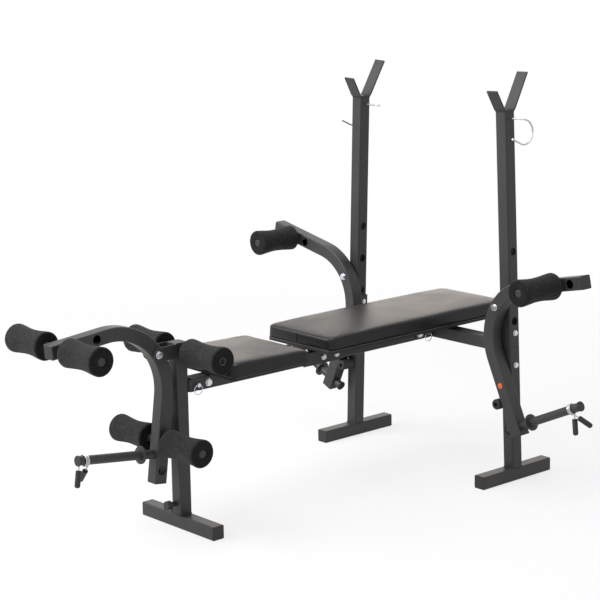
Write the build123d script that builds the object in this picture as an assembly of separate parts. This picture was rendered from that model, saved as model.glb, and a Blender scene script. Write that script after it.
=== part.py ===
from build123d import *
from math import asin, cos, degrees, radians, sin, tan
import os

os.makedirs("parts", exist_ok=True)

# Adjustable weight bench. Millimetres, +Z up, floor at z = 0.
# X = 0 is the mid-plane and -Y is the leg-lever end. The sizes below count Y from the plane of the
# two bar uprights; the written nodes are moved so that the origin is at the middle of the length.

# ---------------------------------------------------------------- steel sections
tube_size = 40.0
tube_wall = 2.0
tube_corner = 4.0
plate_thk = 3.0
plate_gap = 0.5
insert_gap = 0.3
bore_gap = 0.1
hole_gap = 0.25

# ---------------------------------------------------------------- rear frame
foot_x = 349.0
rear_foot_len = 290.0
splay = 2.26
upright_len = 705.0
rod_hole_dia = 24.0
rod_hole_first = 450.0
rod_hole_pitch = 105.0
rod_hole_count = 3
leg_bolt_below_seam = 54.0
leg_bolt_above_seam = 44.0
sleeve_len = 140.0
beam_over_rail = 2.0
end_plate_len = 136.0
end_plate_thk = 5.0
bumper_dia = 32.0
rest_gap = 0.3
bumper_len = 50.0
bumper_bore = 6.0

# ---------------------------------------------------------------- bar catches and hooks
catch_thk = 5.0
catch_front_len = 68.0
catch_front_tilt = 29.0
catch_rear_len = 122.0
catch_rear_tilt = 29.5
catch_bend = 9.0
hook_from_top = 21.0
hook_wire = 5.0
hook_span = 106.0
hook_right_in = 9.0
hook_left_out = 12.0
hook_bend = 7.0
hook_end_len = 11.0
hook_neck_len = 10.0
hook_neck_fall = 19.0
hook_loop_r = 36.0
hook_loop_turn = 186.0
hook_tip_len = 40.0

# ---------------------------------------------------------------- rail and fold brackets
rail_z = 410.0
front_bolt_from_post = 68.0
front_pin_from_post = 28.0
rail_from_post = 10.0
rear_bolt_from_beam = 52.0
rear_pin_from_beam = 18.0
rail_from_beam = 8.5
fold_bolt_dia = 10.0
lock_pin_dia = 8.0
bush_wall = 3.0
bracket_round = 17.0

# ---------------------------------------------------------------- front leg
post_y = -998.0
post_top = 536.0
front_foot_len = 317.0
knee_bar_z = 516.0
lever_ear_high = 40.0
base_angle_len = 40.0
base_angle_high = 30.0
base_bolt_z = 72.0
base_bolt_x = -3.0
knob_dia = 26.0
knob_len = 16.0
knob_reach = 33.0
knob_neck_dia = 14.0

# ---------------------------------------------------------------- leg lever (Y, Z in the mid-plane)
lever_bend_r = 180.0
lever_pivot = (-1080.0, 518.0)
lever_pivot_at = 33.7
lever_lean = 7.5
lever_droop = 5.3
lever_low_len = 245.0
lever_high_len = 177.0
lever_bar_from_tip = 28.0
lever_hole_from_bar = 113.0
lever_low_bar_up = 117.0
lever_low_hole_up = 35.0
lever_peg_up = 80.0
lever_peg_len = 254.0
lever_peg_flange = 43.0

# ---------------------------------------------------------------- fly arms (X, Z)
arm_gap = 4.0
arm_bend_r = 165.0
arm_pivot_z = 539.0
arm_pivot_at = 147.4
arm_low_lean = 24.5
arm_high_rise = 12.0
arm_low_len = 242.0
arm_high_len = 230.0
arm_hole_steps = (82.0, 135.0, 188.0)
arm_bar_step = 1
arm_peg_up = 25.0
arm_peg_len = 242.0
arm_peg_flange = 36.0
arm_peg_inner = 22.0
pivot_dia = 10.0
bush_dia = 20.0

# ---------------------------------------------------------------- bars, pegs, foam, collars
bar_dia = 25.0
bar_wall = 1.5
bar_hole_dia = 26.0
foam_dia = 80.0
foam_waist = 70.0
foam_len = 147.0
foam_round = 14.0
foam_gap = 0.25
foam_recess = 9.0
curl_start = 50.0
ankle_start = 43.0
knee_start = 55.0
arm_foam_start = 13.0
peg_dia = 26.0
peg_wall = 2.0
flange_dia = 50.0
flange_thk = 4.0
peg_cap_dia = 30.0
peg_cap_len = 14.0
collar_wire = 4.0
collar_turns = 2
collar_gap = 0.35
lever_collar_from_end = 26.0
arm_collar_from_end = 40.0
lever_tail_leans = (42.0, 11.0)
arm_tail_leans = (11.0, 43.0)
tail_spread = 9.0
tail_len = 27.0
tail_stops = (0.06, 0.15, 0.3, 0.5, 0.75, 1.0)
grip_dia = 16.0
grip_len = 48.0

# ---------------------------------------------------------------- pads
seat_width = 288.0
seat_front_y = -912.0
seat_rear_y = -629.0
seat_top_over_rail = 48.0
seat_strap_width = 40.0
back_width = 288.0
back_front_y = -553.0
back_rear_y = 202.0
back_top_over_board = 50.0
back_board_over_rail = 16.0
board_thk = 9.0
board_inset = 3.0
pad_corner = 18.0
pad_round = 8.0
pad_foot_round = 3.0
hinge_y = -543.0
hinge_over_rail = 6.0
hinge_pin_dia = 8.0
hinge_knuckle_dia = 11.0
hinge_ear_r = 9.0
hinge_bolt_y = (-473.0, -421.0)
hinge_bolt_drop = 3.0
hinge_plate_rear_y = -396.0
hinge_plate_below_rail = 2.0
hinge_plate_below_top = 3.0
leaf_len = 96.0
back_bar_x = 62.0
back_bar_width = 30.0
back_bar_high = 12.0
back_bar_front_y = -500.0
back_bar_rear_y = 150.0
cross_bar_width = 30.0
buffer_thk = 1.7
buffer_dia = 24.0

# ---------------------------------------------------------------- fasteners and caps
leg_bolt_dia = 8.0
screw_dia = 6.0
head_width = 1.7
head_thk = 0.62
nut_thk = 0.8
washer_width = 2.2
washer_thk = 1.5
tip_len = 3.0
cap_lip = 3.0
cap_depth = 14.0
ring_dia = 28.0
ring_slack = 2.0
ring_wire = 2.5
pin_head_dia = 12.0
pin_head_len = 10.0

# ---------------------------------------------------------------- derived values
half = tube_size / 2
inner_half = half - tube_wall
post_front = post_y - half
post_rear = post_y + half
rail_top = rail_z + half
plate_in = half + plate_gap
plate_out = plate_in + plate_thk
beam_front = -half
arm_y = -half - arm_gap - half
arm_front = arm_y - half
beam_z = rail_z + beam_over_rail
front_bolt_y = post_rear + front_bolt_from_post
front_pin_y = post_rear + front_pin_from_post
rail_front_y = post_rear + rail_from_post
rear_bolt_y = beam_front - rear_bolt_from_beam
rear_pin_y = beam_front - rear_pin_from_beam
rail_rear_y = beam_front - rail_from_beam
seat_top_z = rail_top + seat_top_over_rail
back_board_z = rail_top + back_board_over_rail
back_top_z = back_board_z + back_top_over_board
hinge_z = rail_top + hinge_over_rail
hinge_bolt_z = rail_z - hinge_bolt_drop
hinge_plate_low = rail_z - half - hinge_plate_below_rail
hinge_plate_high = rail_top - hinge_plate_below_top

# the seam of leg and upright is at the rail's height
leg_len = rail_z - tube_size
leg_bolt_along = (leg_len - leg_bolt_below_seam, leg_len + leg_bolt_above_seam)
hook_along = leg_len + upright_len - hook_from_top

# the arm's pivot is on the upright's centre line, and the bumper meets the arm's lower part
s, c = sin(radians(splay)), cos(radians(splay))
arm_pivot = (foot_x - (arm_pivot_z - tube_size) * tan(radians(splay)), arm_pivot_z)
arm_bend_x = arm_pivot[0] - arm_bend_r * cos(radians(arm_pivot_at))
arm_bend_z = arm_pivot[1] - arm_bend_r * sin(radians(arm_pivot_at))
across_x, across_z = cos(radians(arm_low_lean)), sin(radians(arm_low_lean))
bumper_off = arm_bend_r + half + bumper_dia / 2 + rest_gap
bumper_along = (across_x * (arm_bend_x - foot_x) + across_z * (arm_bend_z - tube_size)
                - bumper_off) / (across_z * c - across_x * s)

nodes = {}


def add(name, *solids):
    """Collect the solids of one node."""
    nodes.setdefault(name, []).extend(solids)


def solids_of(shape):
    """The separate solids of a result."""
    return list(shape.solids())


def mirrored(solids):
    """The same solids on the other side of the mid-plane."""
    return [s for solid in solids for s in solids_of(mirror(solid, about=Plane.YZ))]


def both_sides(name, solids):
    """One node with the right-hand solids and their left-hand twins."""
    add(name, *solids, *mirrored(solids))


def rod(point, direction, dia, length):
    """Round bar from a point along a direction."""
    return extrude(Plane(origin=point, z_dir=direction) * Circle(dia / 2), length)


def pipe(point, direction, dia, bore, length):
    """Round tube from a point along a direction."""
    ring = Circle(dia / 2) - Circle(bore / 2)
    return extrude(Plane(origin=point, z_dir=direction) * ring, length)


def square(size, corner):
    """Outline of a square bar with rounded corners."""
    return RectangleRounded(size, size, corner)


def tube_section():
    """Section of the square steel tube."""
    bore = tube_size - 2 * tube_wall
    return square(tube_size, tube_corner) - square(bore, tube_corner - tube_wall)


def square_tube(point, direction, x_dir, length):
    """Square steel tube from a point along a direction."""
    return extrude(Plane(origin=point, x_dir=x_dir, z_dir=direction) * tube_section(), length)


def box(low, high):
    """Box between two corners."""
    size = [b - a for a, b in zip(low, high)]
    middle = [(a + b) / 2 for a, b in zip(low, high)]
    return Pos(*middle) * Box(*size)


def end_cap(point, direction, x_dir):
    """Plastic plug in the end of a square tube, its lip outside the end."""
    plane = Plane(origin=point, x_dir=x_dir, z_dir=direction)
    lip = chamfer(extrude(plane * square(tube_size, tube_corner), cap_lip).faces().sort_by(
        Axis(point, direction))[-1].edges(), cap_lip / 3)
    plug_size = tube_size - 2 * tube_wall - 2 * insert_gap
    plug = extrude(plane * square(plug_size, tube_corner - tube_wall), -cap_depth)
    return lip + plug


def hex_prism(plane, across, length):
    """Six-sided prism standing on a plane."""
    return extrude(plane * RegularPolygon(across / 2, 6, major_radius=False), length)


def bolt_set(point, direction, dia, grip):
    """Hex bolt, its head at the point, with a washer under the head and a nut past the grip."""
    d = Vector(*direction).normalized()
    start = Vector(*point)
    head = hex_prism(Plane(origin=start - d * washer_thk, z_dir=-d), head_width * dia, head_thk * dia)
    head = chamfer(head.faces().sort_by(Axis(start, -d))[-1].edges(), dia * 0.08)
    length = washer_thk + grip + nut_thk * dia + tip_len
    bolt = head + rod(start - d * washer_thk, d, dia, length)
    washer = pipe(start - d * washer_thk, d, washer_width * dia, dia + 2 * bore_gap, washer_thk)
    nut = hex_prism(Plane(origin=start + d * grip, z_dir=d), head_width * dia, nut_thk * dia)
    nut -= rod(start + d * grip, d, dia + 2 * bore_gap, nut_thk * dia)
    return [bolt, washer, nut]


def foam_roller(point, direction, bore):
    """Foam sleeve, thick at both rims and slimmer in the middle, with a bore for its bar."""
    end_r = foam_dia / 2
    waist_r = foam_waist / 2
    profile = make_face(
        Polyline((0, 0), (end_r - foam_round, 0))
        + ThreePointArc((end_r - foam_round, 0), (end_r - foam_round * 0.293, foam_round * 0.293),
                        (end_r, foam_round))
        + ThreePointArc((end_r, foam_round), (waist_r, foam_len / 2), (end_r, foam_len - foam_round))
        + ThreePointArc((end_r, foam_len - foam_round),
                        (end_r - foam_round * 0.293, foam_len - foam_round * 0.293),
                        (end_r - foam_round, foam_len))
        + Polyline((end_r - foam_round, foam_len), (0, foam_len), (0, 0)))
    sleeve = revolve(Plane.XZ * profile, Axis.Z)
    sleeve -= Pos(0, 0, foam_len / 2) * Cylinder(bore / 2, 2 * foam_len)
    return Plane(origin=point, z_dir=direction).location * sleeve


def bent_tube(to_space, side_axis, pivot, pivot_at, radius, turn, low_at, bend, low_len, high_len):
    """Square tube with one bend. Angles lie in the tube's own plane and are in degrees."""
    cu = pivot[0] - radius * cos(radians(pivot_at))
    cv = pivot[1] - radius * sin(radians(pivot_at))

    def on_arc(angle):
        return cu + radius * cos(radians(angle)), cv + radius * sin(radians(angle))

    def tangent(angle, sign):
        return -sign * sin(radians(angle)), sign * cos(radians(angle))

    high_at = low_at + turn * bend
    low_root, high_root = on_arc(low_at), on_arc(high_at)
    low_dir, high_dir = tangent(low_at, -turn), tangent(high_at, turn)
    low_end = [r + d * low_len for r, d in zip(low_root, low_dir)]
    high_end = [r + d * high_len for r, d in zip(high_root, high_dir)]
    path = (Line(to_space(*low_end), to_space(*low_root))
            + ThreePointArc(to_space(*low_root), to_space(*on_arc(low_at + turn * bend / 2)),
                            to_space(*high_root))
            + Line(to_space(*high_root), to_space(*high_end)))
    start = to_space(*low_end)
    direction = to_space(*low_root) - start
    section = Plane(origin=start, x_dir=side_axis, z_dir=direction) * tube_section()
    return sweep(section, path=path), low_end, low_dir, high_end, high_dir


def along(end, direction, distance):
    """Point at a distance back from a tube's end, in the tube's plane."""
    return [e - d * distance for e, d in zip(end, direction)]


def peg_set(root, direction, inner, length, flange_at):
    """Weight peg with its stop flange; the root is on the tube's centre line."""
    d = Vector(*direction).normalized()
    start = Vector(*root) - d * inner
    peg = pipe(start, d, peg_dia, peg_dia - 2 * peg_wall, inner + half + length)
    peg += pipe(Vector(*root) + d * (half + flange_at), d, flange_dia, peg_dia - peg_wall, flange_thk)
    return peg


def peg_cap(point, direction):
    """Plastic cap on the end of a weight peg, with a rounded rim and a plug inside the peg."""
    plane = Plane(origin=point, z_dir=direction)
    body = extrude(plane * Circle(peg_cap_dia / 2), cap_lip + 1)
    body = fillet(body.faces().sort_by(Axis(point, direction))[-1].edges(), cap_lip / 2)
    plug = extrude(plane * Circle(peg_dia / 2 - peg_wall - insert_gap), -peg_cap_len)
    return body + plug


def spring_collar(point, direction, leans):
    """Spring clip for a weight peg: a wire coil, two crossed tails and two hand grips."""
    d = Vector(*direction).normalized()
    up = (Vector(0, 0, 1) - d * d.Z).normalized()
    side = up.cross(d)
    coil_r = peg_dia / 2 + collar_gap + collar_wire / 2
    first, last = -leans[0], 180 + leans[1] + 360 * collar_turns
    rise = d * (collar_wire * 1.08 / 360)
    spread = d * sin(radians(tail_spread))

    def outward(angle):
        return side * cos(radians(angle)) + up * sin(radians(angle))

    def on_coil(angle):
        return Vector(*point) + rise * (angle - first) + outward(angle) * coil_r

    def tail_run(angle, sign):
        return ((outward(angle + 90) + spread) * sign).normalized()

    first_run, last_run = tail_run(first, -1), tail_run(last, 1)
    tail = tail_len + grip_len - cap_lip
    steps = round((last - first) / 20)
    line = [on_coil(first) + first_run * (tail * share) for share in reversed(tail_stops)]
    line += [on_coil(first + (last - first) * k / steps) for k in range(steps + 1)]
    line += [on_coil(last) + last_run * (tail * share) for share in tail_stops]
    wire = sweep(Plane(origin=line[0], z_dir=-first_run) * Circle(collar_wire / 2), path=Spline(line))
    grips = []
    for root, run in ((on_coil(first), first_run), (on_coil(last), last_run)):
        start = root + run * tail_len
        grip = rod(start, run, grip_dia, grip_len)
        grip = fillet(grip.edges().sort_by(Axis(start, run))[0], grip_dia / 8)
        grip = fillet(grip.edges().sort_by(Axis(start, run))[-1], grip_dia * 0.4)
        grip -= rod(start - run, run, collar_wire + 2 * bore_gap, grip_len - cap_lip + 2)
        grips.append(grip)
    return [wire], grips


def u_bracket(name, face_y, toward, pivot, round_r, high, holes):
    """Two side plates and a web welded to a face, the plates rounded about the pivot."""
    web_y = face_y + toward * plate_thk
    low, high_y = sorted((face_y, pivot[0]))
    outline = Pos((low + high_y) / 2, pivot[1]) * Rectangle(high_y - low, high)
    outline += Pos(*pivot) * Circle(round_r)
    for at, dia in holes:
        outline -= Pos(*at) * Circle(dia / 2 + bore_gap)
    both_sides(name, solids_of(Pos(plate_in, 0, 0) * extrude(Plane.YZ * outline, plate_thk)))
    web_low, web_high = sorted((face_y, web_y))
    add(name, box((-plate_in, web_low, pivot[1] - high / 2), (plate_in, web_high, pivot[1] + high / 2)))


def pin_slot(bolt, pin):
    """Slot in the rail along the lock pin's circle round the fold bolt, open at the rail's underside."""
    radius = abs(pin[0] - bolt[0])
    drop = bolt[1] - (rail_z - half) + lock_pin_dia
    sweep_angle = degrees(asin(drop / radius))
    start, turn = (0, -sweep_angle) if pin[0] > bolt[0] else (180, sweep_angle)
    slot = SlotArc(CenterArc(bolt, radius, start, turn), lock_pin_dia + 2 * hole_gap)
    return extrude(Plane.YZ * slot, plate_out, both=True)


def ring_pin(y, z):
    """Lock pin across the rail, its pull ring hanging at the right-hand side."""
    tail = plate_out + pin_head_len / 2
    pin = rod((-tail, y, z), (1, 0, 0), lock_pin_dia, tail + plate_out + bore_gap)
    pin += rod((plate_out + bore_gap, y, z), (1, 0, 0), pin_head_dia, pin_head_len)
    eye_x = plate_out + pin_head_len / 2
    pin -= rod((eye_x, y - pin_head_dia, z), (0, 1, 0), ring_wire + 2 * ring_slack, 2 * pin_head_dia)
    ring = Pos(eye_x, y, z - ring_dia / 2) * Rot(0, 90, 0) * Torus(ring_dia / 2, ring_wire / 2)
    return [pin, ring]


# ---------------------------------------------------------------- rear legs and uprights
leg_dir = Vector(-s, 0, c)
leg_x = Vector(c, 0, s)


def on_leg(distance, side=0.0, y=0.0):
    """Point on the right-hand leg's line, measured up from the top of its foot."""
    return Vector(foot_x, y, tube_size) + leg_dir * distance + leg_x * side


def across_leg(distance, dia):
    """Cutter through both side walls of the right-hand leg or upright."""
    return rod(on_leg(distance, -tube_size), leg_x, dia, 2 * tube_size)


def leg_box(x0, x1, y0, y1, a0, a1):
    """Box in the leg's own leaning frame."""
    block = box((x0, y0, a0), (x1, y1, a1))
    return Plane(origin=on_leg(0), x_dir=leg_x, z_dir=leg_dir).location * block


bumper_x = on_leg(bumper_along).X
leg = square_tube(on_leg(-tube_wall), leg_dir, leg_x, leg_len + tube_wall)
leg -= box((0, -tube_size, -tube_size), (2 * foot_x, tube_size, tube_size))
leg_cuts = [across_leg(leg_bolt_along[0], leg_bolt_dia + 2 * bore_gap)]
leg_cuts.append(rod((bumper_x, -tube_size, on_leg(bumper_along).Z), (0, 1, 0),
                    bumper_bore + 2 * bore_gap, tube_size))
for cut in leg_cuts:
    leg -= cut

upright = square_tube(on_leg(leg_len), leg_dir, leg_x, upright_len)
for i in range(rod_hole_count):
    upright -= across_leg(rod_hole_first + i * rod_hole_pitch, rod_hole_dia)
upright -= across_leg(leg_bolt_along[1], leg_bolt_dia + 2 * bore_gap)
upright -= across_leg(hook_along, hook_wire + 2 * bore_gap)
pivot_hole = rod((arm_pivot[0], -tube_size, arm_pivot[1]), (0, 1, 0),
                 pivot_dia + 2 * bore_gap, 2 * tube_size)
upright -= pivot_hole

sleeve_half = inner_half - insert_gap
sleeve_mid = sum(leg_bolt_along) / 2
sleeve = leg_box(-sleeve_half, sleeve_half, -sleeve_half, sleeve_half,
                 sleeve_mid - sleeve_len / 2, sleeve_mid + sleeve_len / 2)
sleeve = fillet(sleeve.edges().filter_by(Axis(on_leg(0), leg_dir)), tube_corner - tube_wall)
sleeve_in = sleeve_half - tube_wall
sleeve -= leg_box(-sleeve_in, sleeve_in, -sleeve_in, sleeve_in, 0, leg_len + upright_len)
for at in leg_bolt_along:
    sleeve -= across_leg(at, leg_bolt_dia + 2 * bore_gap)
both_sides("upright_sleeves", solids_of(sleeve))

both_sides("rear_legs", solids_of(leg))
add("upright_right", *solids_of(upright))
add("upright_left", *mirrored(solids_of(upright)))

# feet and their caps
rear_foot = square_tube((foot_x, -rear_foot_len / 2, half), (0, 1, 0), (1, 0, 0), rear_foot_len)
both_sides("rear_feet", solids_of(rear_foot))
foot_caps = [end_cap((foot_x, sign * rear_foot_len / 2, half), (0, sign, 0), (1, 0, 0)) for sign in (-1, 1)]
both_sides("rear_foot_caps", foot_caps)

# cross-beam with a bolted plate at each end
plate = leg_box(-half - end_plate_thk, -half, -half, half,
                sleeve_mid - end_plate_len / 2, sleeve_mid + end_plate_len / 2)
for at in leg_bolt_along:
    plate -= across_leg(at, leg_bolt_dia + 2 * bore_gap)
beam = square_tube((-foot_x, 0, beam_z), (1, 0, 0), (0, 1, 0), 2 * foot_x)
beyond = leg_box(-half - end_plate_thk, foot_x, -tube_size, tube_size, 0, leg_len + upright_len)
beam = beam - beyond - mirror(beyond, about=Plane.YZ)
add("cross_beam", *solids_of(beam))
both_sides("cross_beam", solids_of(plate))

# rubber bumper that the fly arm rests against
bumper_z = on_leg(bumper_along).Z
bumper = rod((bumper_x, -half, bumper_z), (0, -1, 0), bumper_dia, bumper_len)
bumper = fillet(bumper.faces().sort_by(Axis.Y)[0].edges(), bumper_dia / 8)
bumper -= rod((bumper_x, -half - bumper_len / 2, bumper_z), (0, -1, 0), 2 * bumper_bore, bumper_len)
bumper -= rod((bumper_x, 0, bumper_z), (0, -1, 0), bumper_bore + 2 * bore_gap, bumper_len)
both_sides("bumpers", solids_of(bumper))
bumper_screw = rod((bumper_x, -half - bumper_len / 2, bumper_z), (0, 1, 0), bumper_bore,
                   bumper_len / 2 + cap_depth)
bumper_screw += rod((bumper_x, -half - bumper_len / 2, bumper_z), (0, -1, 0), 1.7 * bumper_bore, 4)

# ---------------------------------------------------------------- bar catches
base_a = leg_len + upright_len + catch_thk / 2
front_t, rear_t = radians(catch_front_tilt), radians(catch_rear_tilt)
catch_line = FilletPolyline(
    (-half - catch_front_len * sin(front_t), catch_front_len * cos(front_t)),
    (-half, 0), (half, 0),
    (half + catch_rear_len * sin(rear_t), catch_rear_len * cos(rear_t)), radius=catch_bend)
catch = extrude(Plane.YZ * trace(catch_line, catch_thk), half, both=True)
catch = Plane(origin=on_leg(base_a), x_dir=leg_x, z_dir=leg_dir).location * catch
both_sides("bar_catches", solids_of(catch))

# ---------------------------------------------------------------- safety hooks


def safety_hook(inner):
    """Wire hook through the upright, its loop hanging at the outer end of its straight lead."""
    x_in, x_out = -half - inner, hook_span - half - inner
    fall = radians(hook_neck_fall)
    neck = Vector(x_out, hook_neck_len * cos(fall), -hook_neck_len * sin(fall))
    lead = FilletPolyline(Vector(x_in, hook_end_len, 0), Vector(x_in, 0, 0), Vector(x_out, 0, 0), neck,
                          radius=hook_bend)
    middle = neck - Vector(0, sin(fall), cos(fall)) * hook_loop_r

    def loop_point(turn):
        angle = radians(90 - hook_neck_fall - turn)
        return middle + Vector(0, cos(angle), sin(angle)) * hook_loop_r

    loop = ThreePointArc(neck, loop_point(hook_loop_turn / 2), loop_point(hook_loop_turn))
    path = lead + loop + Line(loop @ 1, loop @ 1 + (loop % 1) * hook_tip_len)
    section = Plane(origin=Vector(x_in, hook_end_len, 0), z_dir=(0, -1, 0)) * Circle(hook_wire / 2)
    place = Plane(origin=on_leg(hook_along), x_dir=leg_x, z_dir=leg_dir)
    return solids_of(place.location * sweep(section, path=path))


add("hook_right", *safety_hook(hook_right_in))
add("hook_left", *mirrored(safety_hook(hook_span - tube_size - hook_left_out)))

# ---------------------------------------------------------------- rail
rail = square_tube((0, rail_front_y, rail_z), (0, 1, 0), (1, 0, 0), rail_rear_y - rail_front_y)
front_bolt, front_pin = (front_bolt_y, rail_z), (front_pin_y, rail_z)
rear_bolt, rear_pin = (rear_bolt_y, rail_z), (rear_pin_y, rail_z)
for bolt, pin in ((front_bolt, front_pin), (rear_bolt, rear_pin)):
    rail += rod((-inner_half - tube_wall / 2, *bolt), (1, 0, 0), fold_bolt_dia + 2 * bush_wall,
                2 * inner_half + tube_wall)
    rail -= rod((-tube_size, *bolt), (1, 0, 0), fold_bolt_dia + 2 * bore_gap, 2 * tube_size)
    rail -= pin_slot(bolt, pin)
for y in hinge_bolt_y:
    rail -= rod((-tube_size, y, hinge_bolt_z), (1, 0, 0), leg_bolt_dia + 2 * bore_gap, 2 * tube_size)
add("main_rail", *solids_of(rail))

for name, face_y, toward, bolt, pin in (("front_rail_bracket", post_rear, 1, front_bolt, front_pin),
                                        ("rear_rail_bracket", beam_front, -1, rear_bolt, rear_pin)):
    u_bracket(name, face_y, toward, bolt, bracket_round, 2 * bracket_round,
              ((bolt, fold_bolt_dia), (pin, lock_pin_dia)))
add("lock_pin_front", *ring_pin(*front_pin))
add("lock_pin_rear", *ring_pin(*rear_pin))

# ---------------------------------------------------------------- seat
seat_half = seat_width / 2
seat_mid_y = (seat_front_y + seat_rear_y) / 2
seat_len = seat_rear_y - seat_front_y
strap_top = rail_top + plate_thk


def pad(mid_y, width, length, low, high):
    """Padded cushion: a block with rounded corners, a rounded top and a tight lower edge."""
    block = Pos(0, mid_y, low) * extrude(RectangleRounded(width, length, pad_corner), high - low)
    block = fillet(block.faces().sort_by(Axis.Z)[-1].edges(), pad_round)
    return fillet(block.faces().sort_by(Axis.Z)[0].edges(), pad_foot_round)


def board(mid_y, width, length, low):
    """Plywood board under a cushion, a little smaller than it."""
    inset = 2 * board_inset
    return Pos(0, mid_y, low) * extrude(
        RectangleRounded(width - inset, length - inset, pad_corner - board_inset), board_thk)


seat_board = board(seat_mid_y, seat_width, seat_len, strap_top)
strap_y = [seat_mid_y + sign * (seat_len / 4) for sign in (-1, 1)]
strap_half = seat_half - pad_corner
seat_screw_x = strap_half - seat_strap_width / 2
for y in strap_y:
    strap = box((-strap_half, y - seat_strap_width / 2, rail_top), (strap_half, y + seat_strap_width / 2, strap_top))
    for sign in (-1, 1):
        hole = rod((sign * seat_screw_x, y, 0), (0, 0, 1), screw_dia + 2 * bore_gap, strap_top)
        strap -= hole
    add("seat_straps", strap)


def wood_screw(x, y, low, high):
    """Pan-head screw driven up into a board."""
    screw = rod((x, y, low), (0, 0, 1), screw_dia, high - low)
    head = rod((x, y, low), (0, 0, -1), 2 * screw_dia, screw_dia / 2)
    return screw + fillet(head.faces().sort_by(Axis.Z)[0].edges(), screw_dia / 6)


def screw_holes(block, places, low, high):
    """Cut pilot holes for a set of screws."""
    for x, y in places:
        block -= rod((x, y, low), (0, 0, 1), screw_dia + 2 * bore_gap, high - low)
    return block


seat_screw_at = [(sign * seat_screw_x, y) for y in strap_y for sign in (-1, 1)]
screw_reach = board_thk - 1
seat_board = screw_holes(seat_board, seat_screw_at, strap_top, strap_top + screw_reach)
add("seat_board", seat_board)
add("seat_cushion", pad(seat_mid_y, seat_width, seat_len, strap_top + board_thk + hole_gap, seat_top_z))
for x, y in seat_screw_at:
    add("rail_fasteners", wood_screw(x, y, rail_top, strap_top + screw_reach - hole_gap))

# ---------------------------------------------------------------- backrest hinge
ear_front_y = hinge_y - hinge_ear_r
ear = Pos((ear_front_y + hinge_plate_rear_y) / 2, (hinge_plate_low + hinge_plate_high) / 2) * RectangleRounded(
    hinge_plate_rear_y - ear_front_y, hinge_plate_high - hinge_plate_low, tube_corner)
ear += Pos(hinge_y, (hinge_z + hinge_plate_low + tube_corner) / 2) * Rectangle(
    2 * hinge_ear_r, hinge_z - hinge_plate_low - tube_corner)
ear += Pos(hinge_y, hinge_z) * Circle(hinge_ear_r)
ear -= Pos(hinge_y, hinge_z) * Circle(hinge_pin_dia / 2 + bore_gap)
for y in hinge_bolt_y:
    ear -= Pos(y, hinge_bolt_z) * Circle(leg_bolt_dia / 2 + bore_gap)
both_sides("hinge_plates", solids_of(Pos(half, 0, 0) * extrude(Plane.YZ * ear, plate_thk)))
hinge_grip = 2 * (half + plate_thk)
for y in hinge_bolt_y:
    add("rail_fasteners", *bolt_set((half + plate_thk, y, hinge_bolt_z), (-1, 0, 0), leg_bolt_dia, hinge_grip))
hinge_pin = rod((-half - plate_thk - 2, hinge_y, hinge_z), (1, 0, 0), hinge_pin_dia, hinge_grip + 4)
for sign in (-1, 1):
    hinge_pin += rod((sign * (half + plate_thk + hole_gap), hinge_y, hinge_z), (sign, 0, 0),
                     hinge_pin_dia * 1.5, 2.5)
add("rail_fasteners", hinge_pin)

leaf_top = back_board_z
leaf_y0 = back_front_y + board_inset
knuckle_r = hinge_knuckle_dia / 2
leaf = Pos(leaf_y0 + leaf_len / 2, leaf_top - plate_thk / 2) * Rectangle(leaf_len, plate_thk)
leaf += Pos(hinge_y, hinge_z) * Circle(knuckle_r)
leaf += Pos(hinge_y + 1.5, (hinge_z + leaf_top) / 2) * Rectangle(knuckle_r + 1, leaf_top - hinge_z)
leaf -= Pos(hinge_y, hinge_z) * Circle(hinge_pin_dia / 2 + bore_gap)
leaf = extrude(Plane.YZ * leaf, half - hole_gap, both=True)

# ---------------------------------------------------------------- backrest
back_mid_y = (back_front_y + back_rear_y) / 2
back_len = back_rear_y - back_front_y
bar_low = back_board_z - back_bar_high
back_bar_mid = (back_bar_front_y + back_bar_rear_y) / 2
back_bar_len = back_bar_rear_y - back_bar_front_y
bar_section = RectangleRounded(back_bar_width, back_bar_high, 2) - RectangleRounded(
    back_bar_width - 3, back_bar_high - 3, 0.5)
bar_at = Plane(origin=(back_bar_x, back_bar_front_y, back_board_z - back_bar_high / 2),
               x_dir=(1, 0, 0), z_dir=(0, 1, 0))
back_bar = extrude(bar_at * bar_section, back_bar_len)
cross_y = [back_bar_front_y + cross_bar_width, back_bar_rear_y - cross_bar_width]
cross_half = back_bar_x - back_bar_width / 2
cross_bars = [box((-cross_half, y - cross_bar_width / 2, back_board_z - plate_thk),
                  (cross_half, y + cross_bar_width / 2, back_board_z)) for y in cross_y]
leaf_rear = leaf_y0 + leaf_len
cross_bars[0] -= box((-half, leaf_y0, 0), (half, leaf_rear + hole_gap, back_board_z))
screw_y = [back_bar_front_y + 90, back_bar_mid, back_bar_rear_y - 60]
back_screw_at = [(sign * back_bar_x, y) for y in screw_y for sign in (-1, 1)]
leaf_screw_at = [(sign * half / 2, leaf_rear - 16) for sign in (-1, 1)]
back_bar_holes = [(back_bar_x, y) for y in screw_y]
back_bar = screw_holes(back_bar, back_bar_holes, bar_low - 1, back_board_z + 1)
both_sides("backrest_frame", solids_of(back_bar))
add("backrest_frame", *[s for bar in cross_bars for s in solids_of(bar)])
leaf = screw_holes(leaf, leaf_screw_at, bar_low, back_board_z + 1)
add("hinge_leaf", *solids_of(leaf))
back_board = board(back_mid_y, back_width, back_len, back_board_z)
back_board = screw_holes(back_board, back_screw_at + leaf_screw_at, back_board_z, back_board_z + screw_reach)
add("backrest_board", back_board)
add("backrest_cushion", pad(back_mid_y, back_width, back_len, back_board_z + board_thk + hole_gap, back_top_z))
for x, y in back_screw_at:
    add("backrest_screws", wood_screw(x, y, bar_low, back_board_z + screw_reach - hole_gap))
for x, y in leaf_screw_at:
    add("backrest_screws", wood_screw(x, y, back_board_z - plate_thk, back_board_z + screw_reach - hole_gap))
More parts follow.
